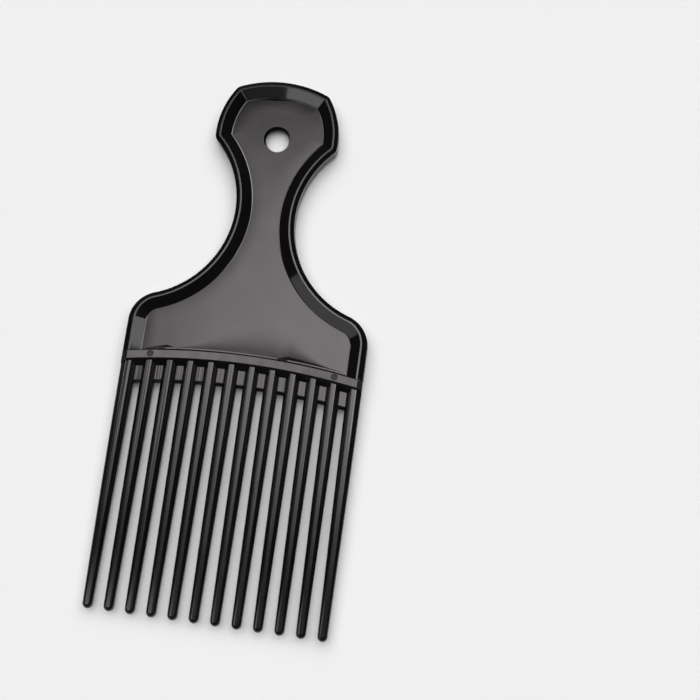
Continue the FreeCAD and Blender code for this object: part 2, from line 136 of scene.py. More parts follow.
ROOT_PITCH = 2 * (SIDE_X - OUTER_TOOTH_INSET) / (TOOTH_COUNT - 1)
TIP_PITCH = ROOT_PITCH + TOOTH_SPLAY

CROWN_RADIUS = (UPPER_X ** 2 + CROWN_RISE ** 2) / (2 * CROWN_RISE)
HEAD_LEAN = LOWER_X - UPPER_X
HEAD_CHORD = math.hypot(HEAD_LEAN, HEAD_SIDE_HEIGHT)
HEAD_RADIUS = (HEAD_CHORD ** 2 / 4 + HEAD_SIDE_BULGE ** 2) / (2 * HEAD_SIDE_BULGE)
HEAD_FACING = math.atan2(HEAD_LEAN, HEAD_SIDE_HEIGHT)
HEAD_DEPTH = HEAD_RADIUS - HEAD_SIDE_BULGE

CROWN_CENTRE = np.array([0, ROOT_Y + CROWN_TOP_RISE - CROWN_RADIUS])
HEAD_CENTRE = np.array([
    (UPPER_X + LOWER_X) / 2 - HEAD_DEPTH * math.cos(HEAD_FACING),
    ROOT_Y + (UPPER_RISE + LOWER_RISE) / 2 - HEAD_DEPTH * math.sin(HEAD_FACING)])
NECK_CENTRE = np.array([NECK_X, ROOT_Y + NECK_RISE])
SHOULDER_CENTRE = np.array([SHOULDER_X, ROOT_Y + SHOULDER_RISE])

# How many steps each line is drawn with
CROWN_STEPS = 90
CORNER_STEPS = 12
HEAD_STEPS = 60
NECK_STEPS = 150
SHOULDER_STEPS = 50
SIDE_STEPS = 16
ARC_STEPS = 5
BAND_STEPS = 240
SLOPE_STEPS = 50
HOLE_STEPS = 128
MARK_STEPS = 64


# Outline of the handle

def arch_y(x, radius=ARCH_RADIUS):
    """Height of the spine band's arch, or of an arc parallel to it, at a place across the pick."""
    return ARCH_Y + np.sqrt(radius ** 2 - np.asarray(x, float) ** 2)


def circles_meet(first, first_radius, second, second_radius, turn):
    """Where two circles cross: to the left of the line of centres if turn is 1, to the right if -1."""
    line = second - first
    gap = np.linalg.norm(line)
    along = (gap ** 2 + first_radius ** 2 - second_radius ** 2) / (2 * gap)
    across = math.sqrt(first_radius ** 2 - along ** 2)
    unit = line / gap
    return first + unit * along + np.array([-unit[1], unit[0]]) * across * turn


def direction(start, end):
    """Angle of the line from one point to another."""
    return math.atan2(end[1] - start[1], end[0] - start[0])


def arc(centre, radius, first, last, steps):
    """Points on an arc between two angles, without its last point."""
    angles = np.linspace(first, last, steps, endpoint=False)
    return centre + radius * np.stack([np.cos(angles), np.sin(angles)], axis=1)


def half_outline(inset):
    """The right half of the handle's outline, moved inwards: crown, head, neck, shoulder and side."""
    corner = max(CORNER_RADIUS - inset, CREASE_RADIUS)
    crown, head = CROWN_RADIUS - inset, HEAD_RADIUS - inset
    neck, shoulder = NECK_RADIUS + inset, SHOULDER_RADIUS - inset
    upper = circles_meet(CROWN_CENTRE, crown - corner, HEAD_CENTRE, head - corner, -1)
    lower = circles_meet(HEAD_CENTRE, head - corner, NECK_CENTRE, neck + corner, 1)
    crown_end = direction(CROWN_CENTRE, upper)
    head_start, head_end = direction(HEAD_CENTRE, upper), direction(HEAD_CENTRE, lower)
    neck_start = direction(NECK_CENTRE, lower) % math.tau
    neck_end = direction(NECK_CENTRE, SHOULDER_CENTRE) % math.tau
    shoulder_start = neck_end - math.pi
    side_x = SHOULDER_SIDE_X - inset
    foot = np.array([side_x, arch_y(side_x)])
    return np.concatenate([
        arc(CROWN_CENTRE, crown, math.pi / 2, crown_end, CROWN_STEPS),
        arc(upper, corner, crown_end, head_start, CORNER_STEPS),
        arc(HEAD_CENTRE, head, head_start, head_end, HEAD_STEPS),
        arc(lower, corner, head_end, neck_start - math.pi, CORNER_STEPS),
        arc(NECK_CENTRE, neck, neck_start, neck_end, NECK_STEPS),
        arc(SHOULDER_CENTRE, shoulder, shoulder_start, 0, SHOULDER_STEPS),
        np.linspace([side_x, SHOULDER_CENTRE[1]], foot, SIDE_STEPS + 1)])


CROWN_END = CROWN_STEPS + CORNER_STEPS // 2
HEAD_END = CROWN_STEPS + CORNER_STEPS + HEAD_STEPS + CORNER_STEPS // 2
NECK_END = CROWN_STEPS + 2 * CORNER_STEPS + HEAD_STEPS + NECK_STEPS
SIDE_END = NECK_END + SHOULDER_STEPS + SIDE_STEPS


def eased(share):
    """A share from 0 to 1, or a row of them, eased at both ends."""
    return share * share * (3 - 2 * share)


def flare_shares():
    """How far along the shoulder and side each step of the outline is, eased from 0 to 1."""
    shares = np.zeros(SIDE_END + 1)
    shares[NECK_END:] = np.linspace(0, 1, SHOULDER_STEPS + SIDE_STEPS + 1)
    return eased(shares)


def wall_share(inset):
    """1 at the rim's outer wall, falling to 0 where its crest starts."""
    return min(max((CREST_OUTER - inset) / (CREST_OUTER - WALL_INSET), 0), 1)


SPREAD = SIDE_FLARE + WALL_INSET - PARTING_RIDGE
UNIT_INSET = 1


def side_place(inset):
    """Where a line of the rim's section meets the spine band's end, across the pick."""
    return SHOULDER_SIDE_X - inset + SPREAD * wall_share(inset)


def flared_outline(inset):
    """The right half outline with its wall spreading towards the spine band."""
    outline = half_outline(inset)
    outward = half_outline(inset - UNIT_INSET) - outline
    spread = SPREAD * wall_share(inset) * flare_shares()
    return outline + outward * spread[:, None]


def rounded(corners):
    """A polyline through corners given as (x, y, rounding radius), with each corner turned to an arc."""
    points = []
    for index, (x, y, radius) in enumerate(corners):
        here = np.array([x, y], float)
        if radius == 0 or index in (0, len(corners) - 1):
            points.append(here)
            continue
        before = np.array(corners[index - 1][:2]) - here
        after = np.array(corners[index + 1][:2]) - here
        before /= np.linalg.norm(before)
        after /= np.linalg.norm(after)
        half_angle = math.acos(np.clip(before @ after, -1, 1)) / 2
        cut = radius / math.tan(half_angle)
        middle = before + after
        centre = here + middle / np.linalg.norm(middle) * radius / math.sin(half_angle)
        first = direction(centre, here + before * cut)
        turn = (direction(centre, here + after * cut) - first + math.pi) % math.tau - math.pi
        points.append(here + before * (cut + SUPPORT_GAP))
        points.extend(arc(centre, radius, first, first + turn, ARC_STEPS))
        points.append(here + after * cut)
        points.append(here + after * (cut + SUPPORT_GAP))
    return np.array(points)


# Closed shells

FILL_INSIDE = 1


class Shell:
    """Vertices and faces of one closed piece."""

    def __init__(self):
        self.points = []
        self.faces = []
        self.sheets = []

    def add(self, points):
        """Take in points and return the number of the first."""
        first = len(self.points)
        self.points.extend(map(tuple, points))
        return first

    def grid(self, rows):
        """A sheet of quads over rows of points that all have the same length."""
        starts = [self.add(row) for row in rows]
        width = len(rows[0])
        for low, high in zip(starts, starts[1:]):
            for step in range(width - 1):
                self.faces.append((low + step, low + step + 1, high + step + 1, high + step))

    def sheet(self, rows):
        """A sheet of quads shaded apart from the faces beside it."""
        first = len(self.faces)
        self.grid(rows)
        self.sheets.append((first, len(self.faces)))

    def cap(self, loop):
        """One flat face over a closed loop of points."""
        first = self.add(loop)
        self.faces.append(tuple(range(first, first + len(loop))))
        self.sheets.append((len(self.faces) - 1, len(self.faces)))

    def fill(self, loop, holes, height):
        """A flat sheet inside a loop of plan points, with round holes (centre, loop) left out."""
        flat = [Vector(point) for point in loop]
        edges = [(index, (index + 1) % len(loop)) for index in range(len(loop))]
        for _, hole in holes:
            start = len(flat)
            flat.extend(Vector(point) for point in hole)
            edges.extend((start + index, start + (index + 1) % len(hole)) for index in range(len(hole)))
        points, _, faces, *_ = delaunay_2d_cdt(flat, edges, [], FILL_INSIDE, 0)
        first = self.add((point.x, point.y, height) for point in points)
        first_face = len(self.faces)
        for face in faces:
            middle = sum((np.array(points[corner]) for corner in face), np.zeros(2)) / len(face)
            if all(np.linalg.norm(middle - centre) > np.linalg.norm(np.array(hole[0]) - centre)
                   for centre, hole in holes):
                self.faces.append(tuple(first + corner for corner in face))
        self.sheets.append((first_face, len(self.faces)))


MERGE_DISTANCE = 0.002 * MM
CREASE_ANGLE = math.radians(32)


def make_piece(name, shell, material):
    """Put a shell in the scene as a mesh in metres, with each of its sheets shaded apart."""
    mesh = bpy.data.meshes.new(name)
    lift = np.array([0, 0, RIM_HALF])
    mesh.from_pydata([tuple((np.array(point) + lift) * MM) for point in shell.points], [], shell.faces)
    for number, (first, last) in enumerate(shell.sheets, start=1):
        for face in range(first, last):
            mesh.polygons[face].material_index = number
    finish_mesh(mesh)
    place(name, mesh, material)


def finish_mesh(mesh):
    """Merge doubles, point the faces outwards, and shade smooth but for creases and flat sheets' edges."""
    work = bmesh.new()
    work.from_mesh(mesh)
    bmesh.ops.remove_doubles(work, verts=work.verts, dist=MERGE_DISTANCE)
    bmesh.ops.dissolve_degenerate(work, edges=work.edges, dist=MERGE_DISTANCE)
    bmesh.ops.recalc_face_normals(work, faces=work.faces)
    for edge in work.edges:
        kinds = {face.material_index for face in edge.link_faces}
        edge.smooth = len(kinds) == 1 and edge.calc_face_angle(math.pi) < CREASE_ANGLE
    for face in work.faces:
        face.smooth = True
        face.material_index = 0
    open_edges = sum(len(edge.link_faces) != 2 for edge in work.edges)
    if open_edges:
        print(f"{mesh.name}: {open_edges} open edges")
    work.to_mesh(mesh)
    work.free()


def add_object(name, data):
    """A new object in the scene."""
    added = bpy.data.objects.new(name, data)
    bpy.context.scene.collection.objects.link(added)
    return added


def place(name, mesh, material):
    """Put a finished skin in the scene, in place of the solid that it covers."""
    piece = add_object(f"{name}_skin", mesh)
    mesh.materials.clear()
    mesh.materials.append(material)
    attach(piece, BODY)
    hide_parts(name)


# Rim

def mirrored(upper):
    """A section's upper half joined to its reflection below the middle plane."""
    lower = upper[::-1] * np.array([1, -1])
    return np.concatenate([upper, lower])


WALL_PROFILE = rounded([
    (WALL_INSET - PARTING_RIDGE, 0, 0),
    (WALL_INSET, PARTING_RIDGE, 0),
    (WALL_INSET, WALL_HALF, WALL_ROUNDING),
    (CREST_OUTER, RIM_HALF, CREST_OUTER_ROUNDING),
    (CREST_INNER, RIM_HALF, 0)])
FLOOR_CUT = FLOOR_ROUNDING * math.tan(math.atan2(RIM_HALF - PANEL_HALF, BEVEL_WIDTH) / 2)
BEVEL_PROFILE = rounded([
    (CREST_OUTER, RIM_HALF, 0),
    (CREST_INNER, RIM_HALF, CREST_INNER_ROUNDING),
    (RIM_WIDTH - FLOOR_CUT, PANEL_HALF, FLOOR_ROUNDING),
    (RIM_WIDTH, PANEL_HALF, 0)])
RIM_SECTION = mirrored(np.concatenate([WALL_PROFILE[:-1], BEVEL_PROFILE[1:]]))


def rim_rows():
    """The rim's section points, each along the whole right half of the outline."""
    return [np.column_stack([flared_outline(inset), np.full(SIDE_END + 1, height)])
            for inset, height in RIM_SECTION]


def rim_shell(rows):
    """The closed shell of one stretch of the rim, from its section points' lines along it."""
    shell = Shell()
    shell.grid(rows + rows[:1])
    for end in (0, -1):
        shell.cap([row[end] for row in rows])
    return shell


def make_rims(material):
    """All seven stretches of the rim."""
    rows = rim_rows()
    flipped = [row * np.array([-1, 1, 1]) for row in rows]
    crown = [np.concatenate([left[CROWN_END:0:-1], right[:CROWN_END + 1]])
             for left, right in zip(flipped, rows)]
    make_piece("crown_rim", rim_shell(crown), material)
    for name, first, last in (
            ("head_rim", CROWN_END, HEAD_END), ("neck_rim", HEAD_END, NECK_END),
            ("shoulder_rim", NECK_END, SIDE_END)):
        for side, half in (("right", rows), ("left", flipped)):
            stretch = [row[first:last + 1] for row in half]
            make_piece(f"{name}_{side}", rim_shell(stretch), material)


# Panel: a floor that falls away a little at its sides, with an apron and a ledge along the spine band

# Each swell is its middle, its reach to the left, its reach to the right and, for a ramp, its width
FLOOR_CROWN = 0.06
FALL_WIDTH = 3.8
FALL_SHARES = (0, 0.12, 0.26, 0.42, 0.6, 0.8, 1)
APRON_WIDTH = 11.0
APRON_SLOPE = 0.085
APRON_SWELL = (4.0, 26.0, 22.4)
APRON_SHARES = FALL_SHARES[::-1]
LEDGE_WIDTH = 0.85
LEDGE_SLOPE = 0.3
LEDGE_CORNER = 0.5
RAMP_LEAST = 0.02
BAND_SWELLS = ((-23.5, 5.8, 2.7, 0.85), (13.0, 3.2, 17.5, 1.0))
CROWN_SWELLS = ((-2.0, 8.0, 6.5, 0.9),)
FLOOR_HALF = PANEL_HALF + FLOOR_CROWN


def swell_share(x, middle, left_reach, right_reach):
    """1 at a swell's middle, falling evenly to 0 at its two reaches."""
    reach = np.where(x < middle, left_reach, right_reach)
    return np.clip(1 - np.abs(x - middle) / reach, 0, 1)


def ramp_width(x, swells, least):
    """Width of a ramp up from the floor, with its swells."""
    width = np.full(np.shape(x), float(least))
    for middle, left_reach, right_reach, extra in swells:
        width = width + extra * swell_share(x, middle, left_reach, right_reach)
    return width


def ledge_start(x):
    """Where the floor ends and the ramp to the ledge begins, along the pick."""
    return arch_y(x) + LEDGE_WIDTH + ramp_width(x, BAND_SWELLS, RAMP_LEAST)


def floor_height(away):
    """Height of the floor at a distance from its side edge."""
    left_share = np.clip(1 - away / FALL_WIDTH, 0, 1)
    return PANEL_HALF + FLOOR_CROWN * (1 - left_share ** 2)


def apron_rows(across):
    """Lines along the band where the floor dips towards it, as distance from the ramp and height."""
    swell = swell_share(across, *APRON_SWELL)
    width = APRON_WIDTH * eased(swell)
    level = floor_height(across.max() - np.abs(across))
    dip = APRON_SLOPE * width / 2
    return [(width * share, level - dip * (1 - share) ** 2) for share in APRON_SHARES]


def ledge_rows(across, sign):
    """Lines along the band from the floor over the apron, the ramp and the ledge to the band's wall."""
    foot = arch_y(across)
    ramp = ramp_width(across, BAND_SWELLS, RAMP_LEAST)
    rows = [(LEDGE_WIDTH + ramp + away, height) for away, height in apron_rows(across)]
    top = rows[-1][1] + ramp * LEDGE_SLOPE
    rows.append((np.full_like(across, LEDGE_WIDTH), top))
    for turn in np.linspace(0, math.pi / 2, ARC_STEPS + 1):
        rows.append((np.full_like(across, LEDGE_CORNER * (1 - math.sin(turn))),
                     top + LEDGE_CORNER * (1 - math.cos(turn))))
    return [np.column_stack([across, foot + away, sign * height]) for away, height in rows]


def ring(centre, radius, height, steps):
    """A closed ring of points, its first point given again at its end."""
    angles = np.linspace(0, math.tau, steps + 1)
    around = centre + radius * np.column_stack([np.cos(angles), np.sin(angles)])
    around[-1] = around[0]
    return np.column_stack([around, np.full(steps + 1, height)])


def panel_outline(inset):
    """The whole outline at an inset, from the left side's foot over the crown to the right's."""
    right = half_outline(inset)
    foot = ledge_start(right[-1, 0])
    right[-SIDE_STEPS - 1:, 1] = np.linspace(SHOULDER_CENTRE[1], foot, SIDE_STEPS + 1)
    return np.concatenate([right[:0:-1] * np.array([-1, 1]), right])


def floor_sides():
    """The panel's outline, the height of its edge, and the lines and heights of its falling sides."""
    outer, inner = panel_outline(RIM_WIDTH), panel_outline(RIM_WIDTH + FALL_WIDTH)
    ramp = ramp_width(outer[:, 0], CROWN_SWELLS, 0)
    middle = len(outer) // 2
    ramp[:middle - CROWN_STEPS] = 0
    ramp[middle + CROWN_STEPS:] = 0
    start_shares = ramp / FALL_WIDTH
    lines = []
    for share in FALL_SHARES:
        shares = start_shares + (1 - start_shares) * share
        line = outer + (inner - outer) * shares[:, None]
        line[[0, -1], 1] = ledge_start(line[[0, -1], 0])
        lines.append((line, floor_height(FALL_WIDTH * shares)))
    return outer, PANEL_HALF + ramp * LEDGE_SLOPE, lines


def make_panel(material):
    """The recessed floor with its hang hole."""
    shell = Shell()
    outline, edge_height, sides = floor_sides()
    feet = np.array([line[-1, 0] for line, _ in sides])
    middle = np.linspace(-feet[-1], feet[-1], BAND_STEPS + 1)
    across = np.concatenate([-feet[:-1], middle, feet[-2::-1]])
    inside = slice(len(feet), -len(feet))
    centre = np.array([0, HOLE_Y])
    radius = HOLE_DIAMETER / 2
    hole_wall = rounded([
        (radius + HOLE_FLARE + HOLE_LAND, FLOOR_HALF, 0),
        (radius + HOLE_FLARE, FLOOR_HALF, HOLE_EDGE_RADIUS),
        (radius, 0, HOLE_EDGE_RADIUS),
        (radius + HOLE_FLARE, -FLOOR_HALF, HOLE_EDGE_RADIUS),
        (radius + HOLE_FLARE + HOLE_LAND, -FLOOR_HALF, 0),
    ])
    rings = [ring(centre, width, height, HOLE_STEPS) for width, height in hole_wall]
    shell.grid(rings)
    apron_end = len(APRON_SHARES)
    last_rows = []
    for sign, edge in ((1, rings[0]), (-1, rings[-1])):
        rows = ledge_rows(across, sign)
        loop = np.concatenate([sides[-1][0], rows[0][inside][::-1, :2]])
        shell.fill(loop, [(centre, edge[:-1, :2])], sign * FLOOR_HALF)
        shell.sheet([np.column_stack([line, sign * height]) for line, height in sides])
        shell.sheet(rows[:apron_end])
        shell.sheet(rows[apron_end - 1:apron_end + 1])
        shell.sheet(rows[apron_end:apron_end + 2])
        shell.sheet([np.column_stack([outline, sign * edge_height]),
                     np.column_stack([sides[0][0], sign * sides[0][1]])])
        shell.grid(rows[apron_end + 1:])
        last_rows.append(rows)
    shell.sheet([rows[-1] for rows in last_rows])
    for end in (0, -1):
        shell.cap([row[end] for row in last_rows[0]] + [row[end] for row in last_rows[1][::-1]])
    shell.sheet([np.column_stack([outline, height]) for height in (edge_height, -edge_height)])
    make_piece("handle_panel", shell, material)


# Spine band

MARK_SHARES = (1, 0.92, 0.6, 0.3)


def band_section():
    """The upper half of the band's section as (arc radius, height), over its top and down its slope."""
    upper = rounded([
        (ARCH_RADIUS, 0, 0),
        (ARCH_RADIUS, RIM_HALF, BAND_EDGE_ROUNDING),
        (BAND_EDGE_RADIUS, RIM_HALF, BAND_EDGE_ROUNDING),
        (BAND_FOOT_RADIUS, WEB_HALF, 0),
        (BAND_FOOT_RADIUS, 0, 0)])
    slope = np.linspace(upper[-3], upper[-2], SLOPE_STEPS)
    return np.concatenate([upper[:-3], slope, upper[-1:]])


def make_band(material):
    """The arched bar across the tooth roots, its ends following the rim's outer wall."""
    shell = Shell()
    # The rim's outer wall from its crest down to its foot
    wall = [(side_place(inset), height) for inset, height in WALL_PROFILE[-2:1:-1]]
    flat_end = wall[0][0]
    wall[0] = (flat_end, RIM_HALF)
    inner = np.linspace(-flat_end, flat_end, BAND_STEPS + 1)
    columns = [(x, RIM_HALF) for x in inner[1:-1]]
    columns = [(-x, height) for x, height in wall[::-1]] + columns + wall
    section = band_section()
    upper = []
    for radius, height in section:
        upper.append(np.array([(x, arch_y(x, radius), min(height, most)) for x, most in columns]))
    on_top = [index for index, (_, height) in enumerate(section) if height == RIM_HALF]
    first, last = on_top[0], on_top[-1]
    lower = [row * np.array([1, 1, -1]) for row in upper]
    start, stop = len(wall) - 1, len(columns) - len(wall)
    for sign, rows in ((1, upper), (-1, lower)):
        shell.grid(rows[:first + 1])
        shell.grid(rows[last:])
        shell.grid([row[:start + 1] for row in rows[first:last + 1]])
        shell.grid([row[stop:] for row in rows[first:last + 1]])
        between = rows[first + 1:last]
        loop = np.array([*rows[first][start:stop + 1], *[row[stop] for row in between],
                         *rows[last][start:stop + 1][::-1], *[row[start] for row in between[::-1]]])[:, :2]
        holes = []
        if sign == 1:
            for side in (1, -1):
                holes.append(ejector_mark(shell, side * MARK_X))
        shell.fill(loop, holes, sign * RIM_HALF)
    for end in (0, -1):
        shell.cap([row[end] for row in upper] + [row[end] for row in lower[::-1]])
    make_piece("spine_band", shell, material)


def ejector_mark(shell, x):
    """A round mark in the band's top, deeper towards the teeth; returns its centre and its edge."""
    centre = np.array([x, arch_y(x, ARCH_RADIUS - BAND_WIDTH / 2)])
    rings = []
    for share in MARK_SHARES:
        around = ring(centre, EJECTOR_MARK_RADIUS * share, RIM_HALF, MARK_STEPS)
        if share < 1:
            toward_teeth = (centre[1] - around[:, 1]) / EJECTOR_MARK_RADIUS
            around[:, 2] -= EJECTOR_MARK_DEPTH * (1 + toward_teeth) / 2
        rings.append(around)
    shell.grid(rings)
    shell.cap(rings[-1][:-1])
    return centre, [tuple(point) for point in rings[0][:-1, :2]]


# Node trees

COLOUR_MIX_INPUTS = (0, 6, 7)
COLOUR_MIX_OUTPUT = 2


class Tree:
    """Short ways to add and join nodes."""

    def __init__(self, tree):
        self.tree = tree

    def add(self, kind, *values, **settings):
        """A node with settings, its inputs set or linked in order."""
        node = self.tree.nodes.new(kind)
        for name, value in settings.items():
            setattr(node, name, value)
        for socket, value in zip(node.inputs, values):
            self.feed(socket, value)
        return node

    def feed(self, socket, value):
        """Set or link one input; None leaves it as it is."""
        if isinstance(value, bpy.types.NodeSocket):
            self.tree.links.new(value, socket)
        elif value is not None:
            socket.default_value = value

    def math(self, operation, *values):
        """A sum on numbers."""
        return self.add("ShaderNodeMath", *values, operation=operation).outputs[0]

    def product(self, first, *others):
        """Numbers multiplied together."""
        for other in others:
            first = self.math("MULTIPLY", first, other)
        return first

    def mix(self, first, last, share):
        """A number between two others."""
        return self.math("MULTIPLY_ADD", self.math("SUBTRACT", last, first), share, first)

    def mix_colour(self, first, last, share):
        """A colour between two others."""
        node = self.add("ShaderNodeMix", data_type="RGBA")
        for index, value in zip(COLOUR_MIX_INPUTS, (share, first, last)):
            self.feed(node.inputs[index], value)
        return node.outputs[COLOUR_MIX_OUTPUT]

    def arc_rise(self, radius, x):
        """Height of an arc above its centre at a place across it."""
        squares = [self.math("MULTIPLY", length, length) for length in (radius, x)]
        return self.math("SQRT", self.math("SUBTRACT", *squares))

    def span(self, value, low, high, to_low, to_high, kind="LINEAR"):
        """A number moved from one range to another, and held inside it."""
        node = self.add("ShaderNodeMapRange", interpolation_type=kind)
        for socket, number in zip(node.inputs, (value, low, high, to_low, to_high)):
            self.feed(socket, number)
        return node.outputs[0]


# Teeth and webs, made by node trees from a grid and a block with sides of 1

GRID_SIDE = 1
GRID_HALF = GRID_SIDE / 2


def new_form(name, sizes):
    """A geometry tree with named inputs for its sizes and its material; returns it and its inputs."""
    tree = bpy.data.node_groups.new(name, "GeometryNodeTree")
    tree.interface.new_socket("Geometry", in_out="INPUT", socket_type="NodeSocketGeometry")
    for size in sizes:
        kind = "NodeSocketInt" if size.startswith("Count") else "NodeSocketFloat"
        tree.interface.new_socket(size, in_out="INPUT", socket_type=kind)
    tree.interface.new_socket("Finish", in_out="INPUT", socket_type="NodeSocketMaterial")
    tree.interface.new_socket("Geometry", in_out="OUTPUT", socket_type="NodeSocketGeometry")
    kit = Tree(tree)
    return tree, kit, kit.add("NodeGroupInput").outputs


def close_form(kit, inputs, geometry, x, y, z, merge):
    """Move the points, merge the seams, and end in realized, finished geometry."""
    position = kit.add("ShaderNodeCombineXYZ", x, y, z).outputs[0]
    moved = kit.add("GeometryNodeSetPosition", geometry, None, position)
    merged = kit.add("GeometryNodeMergeByDistance", moved.outputs[0])
    kit.feed(merged.inputs["Distance"], merge)
    real = kit.add("GeometryNodeRealizeInstances", merged.outputs[0])
    finished = kit.add("GeometryNodeSetMaterial", real.outputs[0], None, inputs["Finish"])
    kit.add("NodeGroupOutput", finished.outputs[0])


CAP_SHARE = 0.02
BALL_SHARE = 0.86


def tooth_form():
    """The tree of one tooth: an eight-sided root on the band's slope, tapering to a round ball tip."""
    tree, kit, size = new_form("tooth_form", (
        "Count Around", "Count Along", "Root X", "Tip X", "Tip Y", "Left Half", "Right Half", "Left Land",
        "Right Land", "Crest Half", "Root Half Height", "Foot Half Height", "Tip Radius", "Corner Power",
        "Tip Power", "Taper Power", "Band Half Height", "Band Bevel Run", "Band Edge Radius", "Arch Y"))
    grid = kit.add("GeometryNodeMeshGrid", GRID_SIDE, GRID_SIDE, size["Count Around"], size["Count Along"])
    place_on = kit.add("ShaderNodeSeparateXYZ", kit.add("GeometryNodeInputPosition").outputs[0]).outputs
    around = kit.math("MULTIPLY", place_on[0], math.tau)
    along = kit.math("ADD", place_on[1], GRID_HALF)
    across, upward = kit.math("COSINE", around), kit.math("SINE", around)
    wide, high = kit.math("ABSOLUTE", across), kit.math("ABSOLUTE", upward)
    to_right = kit.math("GREATER_THAN", across, 0)
    half = kit.mix(size["Left Half"], size["Right Half"], to_right)
    land = kit.mix(size["Left Land"], size["Right Land"], to_right)

    # Distance to the section's edge: flat crest, upright side and the flank between them
    flank_x = kit.math("SUBTRACT", size["Root Half Height"], land)
    flank_z = kit.math("SUBTRACT", half, size["Crest Half"])
    flank_reach = kit.math("MULTIPLY_ADD", flank_x, size["Crest Half"],
                           kit.math("MULTIPLY", flank_z, size["Root Half Height"]))
    flank = kit.math("DIVIDE", kit.math("MULTIPLY_ADD", flank_x, wide, kit.math("MULTIPLY", flank_z, high)),
                     flank_reach)
    crest = kit.math("DIVIDE", high, size["Root Half Height"])
    side = kit.math("DIVIDE", wide, half)
    most = kit.math("MAXIMUM", kit.math("MAXIMUM", crest, side), flank)
    powers = [kit.math("POWER", kit.math("DIVIDE", part, most), size["Corner Power"])
              for part in (crest, side, flank)]
    total = kit.math("ADD", kit.math("ADD", powers[0], powers[1]), powers[2])
    rounding = kit.math("POWER", total, kit.math("DIVIDE", -1, size["Corner Power"]))
    root_reach = kit.math("DIVIDE", rounding, most)

    cap = kit.span(along, 0, CAP_SHARE, 0, 1)
    shank = kit.span(along, CAP_SHARE, BALL_SHARE, 0, 1)
    ball = kit.span(along, BALL_SHARE, 1, 0, math.pi / 2)
    tip_total = kit.math("ADD", kit.math("POWER", wide, size["Tip Power"]),
                         kit.math("POWER", high, size["Tip Power"]))
    squareness = kit.math("POWER", tip_total, kit.math("DIVIDE", -1, size["Tip Power"]))
    squareness = kit.mix(squareness, 1, kit.math("SINE", ball))
    tip_reach = kit.math("MULTIPLY", size["Tip Radius"], squareness)
    taper = kit.math("POWER", shank, size["Taper Power"])
    reach = kit.product(kit.mix(root_reach, tip_reach, taper), cap, kit.math("COSINE", ball))
    x = kit.math("MULTIPLY_ADD", reach, across, kit.mix(size["Root X"], size["Tip X"], shank))
    z = kit.math("MULTIPLY", reach, upward)

    # The root ring lies on the band's slope
    root_x = kit.math("MULTIPLY_ADD", kit.math("MULTIPLY", root_reach, cap), across, size["Root X"])
    root_z = kit.product(root_reach, cap, high)
    run = kit.span(root_z, size["Foot Half Height"], size["Band Half Height"], size["Band Bevel Run"], 0)
    ring = kit.math("SUBTRACT", size["Band Edge Radius"], run)
    root_y = kit.math("ADD", size["Arch Y"], kit.arc_rise(ring, root_x))
    tip_y = kit.math("ADD", size["Tip Y"], size["Tip Radius"])
    sunk = kit.math("MULTIPLY", size["Tip Radius"], kit.math("SINE", ball))
    y = kit.math("SUBTRACT", kit.mix(root_y, tip_y, shank), sunk)
    lifted = kit.math("ADD", z, size["Band Half Height"])
    close_form(kit, size, grid.outputs[0], x, y, lifted, MERGE_DISTANCE)
    return tree


def web_form():
    """The tree of one web: a thin pad on the band's foot with a nose that thins to its middle plane."""
    tree, kit, size = new_form("web_form", (
        "Count Along", "Count Through", "Centre X", "Half Width", "Half Height", "Length", "Nose Length",
        "Nose Power", "Band Half Height", "Band Edge Radius", "Band Bevel Run", "Arch Y"))
    block = kit.add("GeometryNodeMeshCube", (GRID_SIDE, GRID_SIDE, GRID_SIDE), size["Count Through"],
                    size["Count Along"], size["Count Through"])
    place_on = kit.add("ShaderNodeSeparateXYZ", kit.add("GeometryNodeInputPosition").outputs[0]).outputs
    across = kit.math("DIVIDE", place_on[0], GRID_HALF)
    x = kit.math("MULTIPLY_ADD", across, size["Half Width"], size["Centre X"])
    along = kit.math("ADD", place_on[1], GRID_HALF)
    depth = kit.mix(size["Band Bevel Run"], size["Length"], kit.math("SUBTRACT", 1, along))
    rise = kit.arc_rise(size["Band Edge Radius"], x)
    y = kit.math("SUBTRACT", kit.math("ADD", size["Arch Y"], rise), depth)
    left = kit.math("DIVIDE", kit.math("SUBTRACT", size["Length"], depth), size["Nose Length"])
    thinning = kit.math("POWER", kit.math("MINIMUM", kit.math("MAXIMUM", left, 0), 1), size["Nose Power"])
    height = kit.math("MULTIPLY", kit.math("DIVIDE", place_on[2], GRID_HALF), size["Half Height"])
    z = kit.math("MULTIPLY_ADD", height, thinning, size["Band Half Height"])
    close_form(kit, size, block.outputs[0], x, y, z, MERGE_DISTANCE)
    return tree


def grow(name, tree, material, sizes):
    """Run a form's tree once with its sizes, lengths in metres, and put the plain mesh in the scene."""
    seed = bpy.data.meshes.new(f"{name}_seed")
    maker = add_object(f"{name}_maker", seed)
    modifier = maker.modifiers.new(name, "NODES")
    modifier.node_group = tree
    for item in tree.interface.items_tree:
        if item.in_out == "INPUT" and item.name in sizes:
            modifier[item.identifier] = sizes[item.name]
        elif item.name == "Finish":
            modifier[item.identifier] = material
    evaluated = maker.evaluated_get(bpy.context.evaluated_depsgraph_get())
    mesh = bpy.data.meshes.new_from_object(evaluated)
    mesh.name = name
    maker.modifiers.clear()
    bpy.data.objects.remove(maker)
    finish_mesh(mesh)
    place(name, mesh, material)


TOOTH_AROUND = 97
TOOTH_ALONG = 90
WEB_ALONG = 24
WEB_THROUGH = 7
WEB_NOSE_POWER = 0.8


